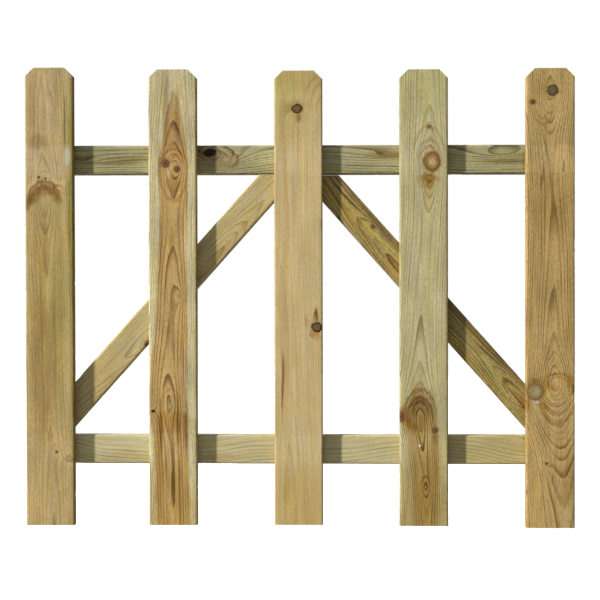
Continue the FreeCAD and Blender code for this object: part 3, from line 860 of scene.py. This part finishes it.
MARKS = {"bands": ("Band", band), "stains_and_edge_shading": ("Stain", stain), "crescents": ("Crescent", crescent)}
WOODS = {
    "pale_1": dict(
        side=[(0, 6), (300, -2), (600, -8), (834, -14)],
        depth=[(0, 26), (300, 31), (560, 30), (640, 34), (834, 40)],
        ring=3.7, wander=1.7, heart=90, heart_edge=15, contrast=0.55, mottle=0.85,
        sap=((0.46, 0.34, 0.152), (0.2, 0.13, 0.047)),
        heartwood=((0.45, 0.325, 0.133), (0.205, 0.137, 0.05)),
        bends=[(-9, 590, 22, 50, 3.2), (-14, 770, 9, 60, 1.4), (9, 765, 7, 50, 1.1)],
        bands=[(641, 694, 5, (106, 107, 134), 0.9), (110, 163, 8, (105, 106, 110), 0.8)],
        stains_and_edge_shading=[
            (-12, 285, 22, 120, (70, 62, 48), 0.4, 0.6),
            (-20, 470, 13, 110, (84, 78, 66), 0.6, 0.6), (16, 380, 12, 150, (86, 86, 68), 0.6, 0.6),
            (5, 430, 44, 130, (90, 92, 78)), (0, 780, 40, 70, (98, 98, 112)),
            (0, 50, 60, 110, (99, 97, 98)), (-10, 611, 20, 8, (66, 52, 32), 0.5, 1.2, 0.9),
            (-28, 598, 8, 14, (66, 52, 32), 0.5, 1.2, 0.9, 35),
            (10, 600, 6, 12, (70, 56, 36), 0.5, 1.2, 0.8, -35),
            (-37, 590, 7, 15, (68, 56, 36), 0.5, 1.2, 0.8, 25),
            (20, 622, 15, 7, (125, 122, 140), 0.5, 0.35, 0.8, -38),
            (-34, 618, 9, 10, (115, 115, 125), 0.6, 0.35, 0.8, 20),
            (-22, 702, 18, 13, (74, 68, 60), 0.5, 0.8), (-2, 740, 4, 60, (112, 114, 120), 0.6, 0.6),
            (-30, 770, 5, 50, (86, 80, 70), 0.6, 0.6), (14, 770, 4, 60, (86, 80, 70), 0.6, 0.6),
            (41, 640, 8, 175, (66, 72, 40), 0.6, 0.6, 0.85),
            (29, 737, 2.4, 44, (42, 44, 24), 0.5, 1.0, 0.85),
            # the second row here, a long strip at x 46, is painted shade down the pale's right edge
            (42, 320, 6, 260, (78, 80, 60), 0.6, 0.7), (46, 417, 3, 800, (86, 72, 55), 0.5, 0.4),
            (-46, 417, 4, 800, (86, 84, 78), 0.5, 0.4),
            (37, 560, 2, 60, (62, 62, 40), 0.6, 0.9, 0.7),
            (34, 675, 5, 16, (50, 53, 40), 0.5, 1.6, 0.65, 0, 1),
            (-8, 520, 5, 60, (86, 80, 70), 0.7),
            (30, 116, 14, 5, (114, 113, 120), 0.6, 0.35, 0.8, 30),
        ],
        crescents=[
            (-10, 580, 29, 40, (55, 42, 24), 0.16, 0.8, 0, 0.4),
            (-10, 588, 31, 41, (50, 36, 20), 0.07, 0.8, 0, 0.4),
            (-9, 592, 33, 46, (120, 120, 140), 0.09, 0.9),
            (16, 612, 6, 11, (60, 38, 26), 0.2, 0.9, -35),
            (22, 606, 9, 18, (72, 55, 38), 0.14, 0.8, -30),
            (-10, 700, 12, 80, (110, 110, 114), 0.12), (36, 119, 9, 7, (70, 58, 42), 0.2, 0.7, -80),
        ],
    ),
    "pale_2": dict(
        side=[(0, 1), (140, -4), (240, -9), (400, -3), (640, 2), (834, 3)],
        depth=[
            (0, 23), (150, 22.5), (235, 22), (300, 24), (450, 27), (545, 30.5), (640, 30),
            (690, 33.5), (740, 36.5), (790, 39.5), (831, 41),
        ],
        ring=3.3, wander=1.1, heart=38.4, heart_edge=1.6, contrast=0.95, mottle=1.0,
        sap=((0.53, 0.455, 0.255), (0.28, 0.22, 0.1)),
        heartwood=((0.47, 0.305, 0.11), (0.15, 0.072, 0.018)),
        bends=[(1, 655, 24, 40, 1.3), (-2, 235, 24, 30, 0.6)],
        bands=[(641, 694, 6, (104, 105, 108), 0.7), (110, 163, 8, (104, 104, 106), 0.7)],
        stains_and_edge_shading=[
            (1, 622, 13, 16, (72, 60, 38), 0.35, 0.7), (9, 748, 5, 52, (66, 56, 42), 0.5, 0.5),
            (-12, 760, 5, 68, (68, 60, 48), 0.5, 0.6), (0, 712, 20, 42, (86, 84, 86), 0.6, 0.5),
            (-1, 520, 5, 22, (76, 66, 50)), (2, 664, 19, 18, (108, 107, 110)),
            (-4, 190, 32, 20, (76, 66, 48), 0.5, 1.2), (24, 180, 4, 44, (50, 36, 20), 0.5, 0.9),
            (8, 185, 3, 40, (62, 46, 26), 0.5, 1.0), (-22, 175, 3, 50, (62, 46, 26), 0.5, 0.9),
            (-25, 120, 5, 120, (80, 70, 52)), (12, 110, 3, 100, (82, 72, 55), 0.7),
            (-38, 300, 6, 60, (112, 112, 120)), (0, 740, 50, 110, (95, 90, 84), 0.5),
            # the first row here, a long strip at x 44, is painted shade down the pale's right edge
            (44, 417, 4, 800, (95, 82, 50), 0.5, 0.4), (-40, 50, 8, 60, (88, 80, 70), 0.5, 0.4),
            (0, 30, 60, 75, (90, 84, 66), 0.5), (-24, 640, 2.5, 40, (70, 50, 30), 0.7, 0.4),
            (26, 600, 2, 90, (78, 62, 40), 0.7, 0.4), (-22, 520, 2, 80, (74, 58, 38), 0.7, 0.4),
            (25, 330, 2.5, 90, (70, 50, 30), 0.7, 0.5), (18, 330, 1.5, 90, (78, 60, 40), 0.7, 0.5),
            (36, 640, 7, 90, (107, 107, 110)),
        ],
        crescents=[
            (2, 648, 25, 38, (72, 52, 30), 0.07), (2, 652, 25, 60, (72, 52, 30), 0.07, 0.8, 180),
            (8, 651, 14, 22, (84, 68, 50), 0.12, 0.7), (-3, 214, 17, 34, (80, 66, 50)),
            (-3, 212, 13, 24, (80, 66, 50), 0.1, 0.7), (10, 664, 10, 13, (86, 70, 55), 0.12),
        ],
    ),
    "pale_3": dict(
        side=[(0, -14), (250, -22), (500, -30), (828, -26)],
        depth=[(0, 34), (400, 40), (828, 44)],
        ring=4.0, wander=1.4, heart=0, heart_edge=5, contrast=0.42, mottle=0.55,
        sap=((0.515, 0.385, 0.178), (0.33, 0.205, 0.07)),
        heartwood=((0.53, 0.4, 0.18), (0.33, 0.22, 0.08)),
        bends=[(52, 770, 26, 46, -2.6)],
        bands=[(641, 694, 6, (104, 106, 110), 0.8), (110, 163, 8, (104, 106, 110), 0.8)],
        stains_and_edge_shading=[
            (-28, 276, 2.2, 36, (22, 8, 2), 0.5, 0.4, 0.8, 0, 1),
            (-30, 238, 1.4, 26, (26, 10, 3), 0.5, 0.4, 0.8, 0, 1),
            (-30, 245, 0.9, 60, (70, 45, 28), 0.7, 0.4),
            (0, 20, 60, 75, (92, 87, 68), 0.5, 0.35, 0.95),
            (0, 828, 60, 36, (84, 82, 66), 0.5, 0.35, 0.9),
            # this long strip at x 45 is painted shade down the pale's right edge
            (45, 417, 3, 800, (76, 76, 62), 0.5, 0.4),
            (-16, 470, 1.2, 210, (116, 116, 120), 0.7, 0.5),
            (8, 520, 1.4, 260, (114, 114, 116), 0.7, 0.5),
            (-8, 230, 1.4, 160, (114, 114, 118), 0.7, 0.5), (-22, 400, 5, 300, (95, 88, 78), 0.7),
            (-30, 790, 26, 60, (90, 95, 80)), (0, 770, 60, 50, (95, 96, 90)),
            (1, 743, 5, 10, (50, 34, 16), 0.5, 1.1), (-3, 760, 22, 14, (86, 78, 60), 0.6, 1.0),
            (32, 378, 3, 16, (42, 24, 12), 0.6, 0.6), (29, 347, 9, 6, (70, 48, 22), 0.5, 1.2),
            (0, 690, 2, 60, (88, 80, 66), 0.6, 0.6), (14, 372, 3, 12, (80, 66, 45)),
        ],
        crescents=[
            (40, 748, 18, 54, (78, 68, 54)), (46, 742, 14, 40, (78, 68, 54)),
            (36, 752, 26, 64, (84, 76, 64), 0.07), (33, 358, 14, 20, (82, 68, 50), 0.1, 0.7, 180),
            (31, 368, 4, 20, (45, 30, 17), 0.3),
        ],
    ),
    "pale_4": dict(
        side=[(0, 6), (90, 3), (180, -6), (240, -8), (400, -4), (600, 6), (831, 8)],
        depth=[
            (0, 17), (60, 15), (95, 13), (150, 9), (195, 6), (222, 17), (240, 24), (265, 29),
            (320, 33), (430, 36), (831, 40),
        ],
        ring=3.2, wander=1.1, heart=28, heart_edge=7, contrast=0.95, mottle=0.8,
        sap=((0.455, 0.393, 0.2), (0.225, 0.18, 0.075)),
        heartwood=((0.41, 0.3, 0.115), (0.12, 0.068, 0.018)),
        bends=[(11, 645, 17, 52, 3.6), (3, 70, 9, 20, 1.8)],
        bands=[(641, 694, 6, (103, 103, 106), 0.7), (110, 163, 8, (106, 106, 110), 0.7)],
        stains_and_edge_shading=[
            (9, 632, 17, 9, (60, 44, 18), 0.4, 1.3, 1.0), (8, 620, 11, 7, (66, 52, 26), 0.5, 1.5),
            (8, 690, 17, 14, (106, 102, 116), 0.6, 0.5), (0, 805, 60, 55, (95, 97, 82), 0.5),
            # the first row here, a long strip at x 44, is painted shade down the pale's right edge
            (44, 417, 4, 800, (70, 62, 42), 0.5, 0.4), (0, 20, 60, 60, (95, 87, 72), 0.5),
            (-38, 200, 10, 14, (62, 44, 24), 0.5, 1.0, 0.8, -30),
            (-26, 184, 16, 8, (72, 56, 30), 0.5, 1.3, 0.8, 35),
            (20, 165, 5, 16, (72, 55, 34), 0.6, 1.0), (8, 605, 9, 20, (84, 74, 56)),
            (9, 727, 4, 6, (52, 38, 20)), (-10, 196, 30, 28, (72, 58, 36), 0.5, 1.1),
            (4, 160, 10, 24, (116, 120, 130), 0.6, 0.6), (0, 75, 28, 95, (82, 73, 55), 0.5),
            (0, 60, 60, 90, (92, 88, 78), 0.5), (24, 130, 6, 50, (80, 70, 50), 0.6, 0.8),
            (-8, 146, 1.8, 2.2, (80, 78, 70), 0.4, 0.35, 0.8, 0, 1),
        ],
        crescents=[
            (10, 655, 25, 46, (72, 62, 48), 0.07), (9, 660, 30, 66, (72, 62, 45), 0.05),
            (10, 655, 21, 34, (80, 70, 56)), (3, 70, 8, 20, (45, 32, 18), 0.16),
            (3, 66, 4, 12, (50, 36, 20), 0.3), (-7, 192, 9, 22, (42, 30, 16), 0.16, 0.8, 0, 0.3),
            (-7, 190, 16, 36, (34, 22, 10), 0.16, 0.9, 0, 0.3),
            (-7, 188, 24, 46, (40, 28, 14), 0.12, 0.9, 0, 0.3),
            (-7, 188, 31, 60, (50, 38, 22), 0.08, 0.9, 0, 0.3),
        ],
    ),
    "pale_5": dict(
        side=[(0, 24), (120, 20), (230, 10), (330, 6), (560, 4), (760, -2), (834, 0)],
        depth=[
            (0, 58), (60, 55), (130, 48), (180, 37), (215, 26), (250, 14), (268, 12), (330, 21),
            (500, 27), (680, 29), (740, 22), (790, 14), (834, 15),
        ],
        ring=3.3, wander=1.5, heart=90, heart_edge=15, contrast=0.95, mottle=1.1,
        sap=((0.42, 0.285, 0.105), (0.18, 0.108, 0.033)),
        heartwood=((0.42, 0.285, 0.105), (0.18, 0.108, 0.033)),
        bends=[(14, 262, 18, 22, 1.6), (-26, 240, 26, 34, 1.2)],
        bands=[(645, 693, 2.5, (112, 113, 122), 1.0)],
        stains_and_edge_shading=[
            (0, 590, 50, 60, (87, 82, 74), 0.4, 0.5), (-14, 642, 2.4, 17, (50, 42, 30), 0.6, 0.7),
            (-17, 628, 2, 12, (60, 50, 36), 0.6, 0.7),
            (-26, 267, 10, 4, (70, 46, 16), 0.5, 0.8, 0.8, 15),
            (-9, 262, 7, 9, (78, 55, 20), 0.6, 0.9), (4, 255, 9, 5, (84, 64, 32), 0.6, 0.9),
            (38, 262, 8, 16, (80, 58, 24), 0.6, 0.9),
            (-14, 222, 8, 6, (80, 58, 28), 0.6, 0.9, 0.8, 35),
            # the second row here, a long strip at x 46, is painted shade down the pale's right edge
            (-20, 228, 5, 3, (80, 60, 30), 0.6, 0.9), (46, 417, 4, 800, (66, 60, 44), 0.5, 0.4),
            (-30, 330, 12, 40, (108, 106, 110), 0.6, 0.6), (0, 440, 60, 170, (94, 92, 87), 0.5),
            (-27, 258, 9, 3, (62, 56, 45), 0.6, 1.0), (-42, 225, 4, 12, (85, 60, 36), 0.5, 1.0),
            (-28, 231, 9, 3, (60, 58, 48), 0.5, 0.9, 0.8, 22, 1),
            (36, 85, 11, 46, (78, 77, 76), 0.5, 1.0), (20, 120, 16, 60, (88, 84, 76), 0.6, 0.8),
            (4, 92, 1.3, 7, (40, 30, 20)), (-30, 90, 16, 110, (110, 107, 102)),
            (0, 793, 20, 18, (93, 86, 66), 0.6, 0.8),
        ],
        crescents=[
            (-16, 770, 13, 26, (76, 66, 50), 0.12, 0.8, 180),
            (-14, 772, 19, 40, (78, 68, 54), 0.1, 0.8, 180),
            (14, 258, 19, 16, (76, 62, 44), 0.1, 0.7),
            (12, 246, 20, 24, (72, 58, 42), 0.1, 0.8, 180),
            (12, 246, 27, 38, (66, 50, 32), 0.08, 0.8, 180),
            (12, 246, 34, 56, (66, 50, 32), 0.07, 0.8, 180),
            (14, 268, 22, 12, (70, 50, 26), 0.2, 0.8, 0, 0.5),
            (-27, 247, 17, 17, (62, 44, 26), 0.14, 0.8, -60, 0.3),
            (12, 246, 13, 13, (78, 65, 50), 0.12, 0.8, 180),
        ],
    ),
    "top_rail": dict(
        side=[(0, -30), (150, -36), (330, -30), (500, -40), (650, -34), (860, -30), (996, -34)],
        depth=[(0, 26), (500, 34), (996, 30)],
        ring=4.2, wander=1.8, heart=0, heart_edge=5, contrast=1.0, mottle=0.9,
        sap=((0.365, 0.325, 0.16), (0.11, 0.08, 0.028)),
        heartwood=((0.38, 0.33, 0.165), (0.14, 0.1, 0.04)),
        bends=[
            (2, 100, 10, 50, 2.2), (-2, 352, 14, 34, 2.6), (-8, 675, 7, 45, 2.0),
            (-11, 870, 12, 60, 2.6),
        ],
        stains_and_edge_shading=[
            (-1, 190, 5, 45, (74, 62, 48), 0.6, 0.7), (0, 120, 60, 60, (86, 86, 82)),
            (0, 348, 22, 34, (86, 72, 60), 0.6, 0.7), (0, 425, 14, 34, (112, 112, 112)),
            (-8, 662, 6, 36, (66, 46, 28), 0.5, 0.6), (0, 640, 60, 60, (90, 90, 88)),
            (-4, 95, 4, 40, (78, 70, 56), 0.5, 0.7), (6, 150, 3, 50, (60, 50, 36), 0.6, 0.7),
            (4, 880, 4, 40, (55, 44, 30), 0.6, 0.7), (0, 870, 60, 70, (85, 84, 80)),
            (2, 912, 18, 6, (85, 58, 30), 0.5, 0.9),
        ],
        crescents=[
            (-12, 334, 14, 19, (50, 42, 32), 0.12),
            (-12, 334, 14, 19, (50, 42, 32), 0.12, 0.8, 180),
            (0, 362, 15, 24, (60, 45, 30), 0.1, 0.9),
        ],
    ),
    "bottom_rail": dict(
        side=[
            (0, -52), (80, -44), (150, -30), (310, -24), (457, -36), (540, -20), (684, -36),
            (766, -42), (914, -22), (996, -20),
        ],
        depth=[(0, 22), (500, 26), (996, 20)],
        ring=5.6, wander=1.2, heart=0, heart_edge=4, contrast=0.6, mottle=0.5,
        sap=((0.515, 0.44, 0.23), (0.24, 0.175, 0.065)),
        heartwood=((0.47, 0.39, 0.18), (0.2, 0.14, 0.05)),
        stains_and_edge_shading=[
            (18, 190, 10, 110, (88, 84, 76)), (0, 880, 60, 120, (80, 72, 55)),
            (0, 520, 60, 200, (94, 92, 90)), (14, 350, 8, 40, (92, 80, 68), 0.6, 0.6),
        ],
    ),
    "left_brace": dict(
        side=[(0, -12), (240, 10), (400, 14), (640, 12)],
        depth=[(0, 30), (240, 24), (330, 26), (440, 22), (570, 33), (640, 36)],
        ring=3.4, wander=1.1, heart=0, heart_edge=5, contrast=0.65, mottle=0.7,
        sap=((0.465, 0.365, 0.165), (0.24, 0.165, 0.06)),
        heartwood=((0.475, 0.385, 0.185), (0.25, 0.185, 0.075)),
        bends=[(26, 248, 14, 40, 1.6)],
        stains_and_edge_shading=[
            (15, 470, 8, 24, (88, 74, 56), 0.6, 0.6), (15, 530, 7, 20, (90, 78, 60), 0.6, 0.6),
            (0, 100, 40, 110, (100, 95, 88)),
        ],
    ),
    "right_brace": dict(
        side=[(0, 2), (200, 4), (420, -4), (640, 6)],
        depth=[(0, 15), (90, 12), (200, 20), (420, 14), (500, 20), (640, 24)],
        ring=3.6, wander=1.8, heart=0, heart_edge=5, contrast=1.0, mottle=1.5,
        sap=((0.325, 0.235, 0.078), (0.06, 0.036, 0.011)),
        heartwood=((0.25, 0.18, 0.06), (0.05, 0.03, 0.009)),
        stains_and_edge_shading=[
            (4, 470, 6, 60, (110, 120, 100), 0.6, 0.9), (2, 190, 7, 60, (115, 120, 105), 0.6, 0.9),
            # the first row here, a long dark strip at x 22, is painted shade along the brace's
            # upper edge
            (22, 300, 8, 300, (55, 50, 40), 0.6, 0.7), (1, 92, 6, 22, (62, 42, 24), 0.5, 0.7),
            (-4, 130, 9, 50, (115, 120, 110), 0.6, 0.6), (-6, 560, 12, 80, (105, 98, 70), 0.6, 0.6),
            # the second row here, a long pale strip at x -18, is a painted highlight along the
            # lower edge
            (-8, 420, 8, 24, (95, 72, 50), 0.6, 0.8), (-18, 300, 7, 250, (115, 112, 100), 0.6, 0.7),
        ],
        crescents=[
            (1, 92, 10, 40, (50, 36, 22), 0.16), (1, 92, 10, 26, (50, 36, 22), 0.16, 0.8, 180),
            (0, 330, 9, 60, (55, 42, 28), 0.12),
        ],
    ),
}
LOOK = ("Heart", "Flesh", "Bark", "Bark Share", "Stain", "Stain Reach")
LOOKS = {
    "pin": ((0.12, 0.065, 0.03), (0.15, 0.085, 0.035), (0.06, 0.035, 0.015),
            0.6, (0.33, 0.22, 0.09), 2.0),
    "pale": ((0.4, 0.28, 0.14), (0.42, 0.3, 0.14), (0.18, 0.1, 0.04), 0.6, (0.4, 0.28, 0.12), 1.6),
    "red": ((0.12, 0.05, 0.022), (0.2, 0.1, 0.045), (0.08, 0.03, 0.012),
            0.6, (0.3, 0.165, 0.055), 2.0),
    "black": ((0.02, 0.014, 0.01), (0.03, 0.02, 0.012), (0.015, 0.01, 0.007),
              0.8, (0.16, 0.09, 0.04), 2.2),
    "dark": ((0.2, 0.11, 0.035), (0.15, 0.085, 0.03), (0.025, 0.012, 0.005),
             1.0, (0.38, 0.25, 0.09), 1.8),
    "great": ((0.56, 0.38, 0.18), (0.3, 0.175, 0.045), (0.1, 0.05, 0.012),
              0.7, (0.33, 0.22, 0.075), 1.45),
    "grey": ((0.15, 0.115, 0.06), (0.11, 0.085, 0.04), (0.05, 0.036, 0.015),
             0.8, (0.34, 0.24, 0.08), 1.7),
    "green": ((0.37, 0.3, 0.15), (0.29, 0.225, 0.085), (0.15, 0.085, 0.02),
              0.8, (0.34, 0.21, 0.05), 1.5),
}
print("stains:", sum(len(wood["stains_and_edge_shading"]) for wood in WOODS.values()))

# %% [markdown]
# ## From values to wood
# The material puts the gate's coordinates into the board's frame with one Mapping node, counts
# rings, bends them round swells and knots, colours the pine, then lays bands, stains, painted
# edge shading and knots over it. End grain drinks more treatment, so it is darker.

# %% Make the wood materials
END_TINT, RELIEF = (0.72, 0.66, 0.56), 0.25 * MM


def along_board(graph, z, length, points, low, high):
    """A value in millimetres that follows a curve through (height, value) points."""
    made = graph.tree.nodes.new("ShaderNodeFloatCurve")
    curve = made.mapping.curves[0]
    places = [(up / length, (value - low) / (high - low)) for up, value in points]
    curve.points[0].location, curve.points[1].location = places[0], places[-1]
    for place in places[1:-1]:
        curve.points.new(*place)
    made.mapping.update()
    graph.feed(made.inputs, {"Value": graph.math("DIVIDE", z, length)})
    return graph.add(graph.mul(made.outputs[0], high - low), low)


def millimetres(graph, location=(0, 0, 0), rotation=(0, 0, 0)):
    """The gate's coordinates in millimetres, from a place and a turn of one's own."""
    coordinates = graph.node("TexCoord", {}, out="Object")
    return graph.mapping(coordinates, location, rotation, (MM, MM, MM))


def pine(node, seed):
    board, wood = boards[node], WOODS[node]
    material, graph, shader = new_material(f"{node}_pine")
    front = board.matrix @ Vector((0, board.front, 0))
    place = millimetres(graph, front, board.matrix.to_euler())
    z = graph.split(place)["Z"]
    long_way = board.length / MM
    rings = use(graph, "Growth Rings", {
        "Place": place,
        "Pith Side": along_board(graph, z, long_way, wood["side"], -60, 60),
        "Pith Depth": along_board(graph, z, long_way, wood["depth"], 0, 60),
        "Ring Width": wood["ring"], "Wander": wood["wander"], "Seed": seed,
    })["Rings"]
    swells = list(wood.get("bends", ()))
    swells += [(knot.x, knot.z, *knot.reach, knot.bend) for knot in KNOTS[node]]
    for x, up, wide, high, bend in swells:
        rings = use(graph, "Bent Rings", {
            "Place": place, "Rings": rings, "Centre": (x, 0, up), "Reach": (wide, 1000, high),
            "Bend": bend,
        })["Rings"]
    planed = use(graph, "Planed Pine", {
        "Place": place, "Rings": rings, "Heart Rings": wood["heart"] / wood["ring"],
        "Heart Edge": wood["heart_edge"] / wood["ring"], "Sap Spring": wood["sap"][0],
        "Sap Autumn": wood["sap"][1], "Heart Spring": wood["heartwood"][0],
        "Heart Autumn": wood["heartwood"][1], "Contrast": wood["contrast"],
        "Mottle": wood["mottle"], "Seed": seed,
    })
    colour, height = planed["Colour"], planed["Height"]
    for kind, (group, inputs) in MARKS.items():
        for row in wood.get(kind, ()):
            given = {"Place": place, "Colour": colour, **inputs(*row)}
            colour = use(graph, group, given)["Colour"]
    for knot in KNOTS[node]:
        dressed = use(graph, "Knot", {
            "Place": place, "Colour": colour, "Height": height, "Centre": (knot.x, 0, knot.z),
            "Size": (knot.wide, 1, knot.high), **dict(zip(LOOK, LOOKS[knot.look])),
        })
        colour, height = dressed["Colour"], dressed["Height"]
    normal = graph.node("NewGeometry", {}, out="Normal")
    facing = graph.vectors("DOT_PRODUCT", normal, board.along, out="Value")
    end_grain = graph.ramp(graph.math("ABSOLUTE", facing), 0.45, 0.65)
    graph.feed(shader, {
        "Base Color": graph.mix(end_grain, colour, graph.tinted(colour, END_TINT)),
        "Roughness": planed["Roughness"],
        "Normal": graph.node("Bump", {"Height": height, "Strength": 1.0, "Distance": RELIEF}),
        "Specular IOR Level": 0.15,
    })
    return material


for seed, (node, piece) in enumerate(timber.items()):
    dress(piece, pine(node, seed * 1.37))
print("woods:", len(bpy.data.materials))

# %% [markdown]
# ## Zinc
# The screws are zinc plated: a bluish grey metal, dull where the plating has weathered white.

# %% Make the zinc
zinc, graph, shader = new_material("screw_zinc")
place = millimetres(graph)
bloom = graph.grain(place, 1.6, 1.6, detail=4.0)
grain = graph.grain(place, 0.3, 0.3)
dull = graph.ramp(bloom, 0.42, 0.66)
frost = {"Height": graph.add(bloom, grain), "Strength": 0.6, "Distance": 0.02 * MM}
graph.feed(shader, {
    "Base Color": graph.mix(dull, (0.5, 0.52, 0.56), (0.62, 0.63, 0.63)),
    "Metallic": graph.ramp(dull, 0.0, 1.0, 1.0, 0.55),
    "Roughness": graph.ramp(dull, 0.0, 1.0, 0.3, 0.62),
    "Normal": graph.node("Bump", frost),
})
for pair in screw_pairs.values():
    dress(pair, zinc)

# %% [markdown]
# ## Fit the pieces to the frame
# Each piece stands in for its solid and moves with the one body.

# %% Fit the pieces
for node, piece in screw_pairs.items():
    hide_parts(node)
    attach(piece, "root")
for node, piece in timber.items():
    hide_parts(node)
    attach(piece, "root")

# %% [markdown]
# ## Camera
# The gate is seen square on from a couple of metres, from slightly right of its middle.

# %% Camera
VIEW_WIDTH, DISTANCE = 1092 * MM, 2.5
SENSOR, FAR = 36, 50
target = Vector((2.5 * MM, cad_box[0][1], 413.7 * MM))
yaw = math.radians(1.3)
camera_data = bpy.data.cameras.new("camera")
camera = in_scene("camera", camera_data)
bpy.context.scene.camera = camera
camera.location = target + Vector((math.sin(yaw), -math.cos(yaw), 0)) * DISTANCE
camera.rotation_euler = (math.radians(90), 0, yaw)
camera_data.sensor_width = SENSOR
camera_data.lens = SENSOR * DISTANCE / VIEW_WIDTH
camera_data.clip_end = FAR

# %% [markdown]
# ## Light
# One soft-edged key light stands to the left, high, so each pale throws a narrow shadow on the
# rails behind it. A broad cool lamp in front, a broad one behind and a dim white surround fill
# the shadows. The camera itself sees the surround and the floor as plain white.

# %% Light and floor
SURROUND, WHITE, FLOOR_GREY = 0.15, (1, 1, 1), (0.25, 0.25, 0.25)
scene = bpy.context.scene
scene.view_settings.view_transform = "Standard"


def for_camera(graph, unseen, seen):
    """One value for the rays that light the scene, another for those the camera sees by."""
    return graph.ramp(graph.node("LightPath", {}, out="Is Camera Ray"), 0.0, 1.0, unseen, seen)


def lamp(name, towards, energy, spread, colour=WHITE):
    """A distant lamp in the direction given, as many degrees wide as its spread."""
    light = bpy.data.lights.new(name, "SUN")
    light.energy, light.angle, light.color = energy, math.radians(spread), colour
    in_scene(name, light).rotation_euler = Vector(towards).to_track_quat("Z", "Y").to_euler()


world = bpy.data.worlds.new("surround")
scene.world = world
world.use_nodes = True
sky = Graph(world.node_tree)
background = sky.tree.nodes["Background"].inputs
sky.feed(background, {"Color": WHITE, "Strength": for_camera(sky, SURROUND, 1.0)})

key_side = math.radians(61.5)
lamp("key", (-math.sin(key_side), -math.cos(key_side), 0.65), energy=5.25, spread=3)
lamp("fill", (-0.45, -1, 0.3), energy=0.7, spread=100, colour=(0.86, 1.0, 1.1))
lamp("back", (-0.5, 1, 0.45), energy=1.7, spread=60)

bm = bmesh.new()
bmesh.ops.create_grid(bm, x_segments=1, y_segments=1, size=6)
placed(bm, move=(0, 0, -50 * MM))
floor_mesh = bpy.data.meshes.new("floor")
bm.to_mesh(floor_mesh)
bm.free()
floor = in_scene("floor", floor_mesh)
paper, graph, shader = new_material("paper")
graph.feed(shader, {
    "Base Color": FLOOR_GREY, "Roughness": 0.9, "Specular IOR Level": 0,
    "Emission Color": WHITE, "Emission Strength": for_camera(graph, 0.0, 1.0),
})
dress(floor, paper)

# %% [markdown]
# ## Measure and finish
# The box round the solids is printed. The finished pieces can't be larger, as wear only takes
# wood away.

# %% Measure and finish
print("cad box   ", cad_box)
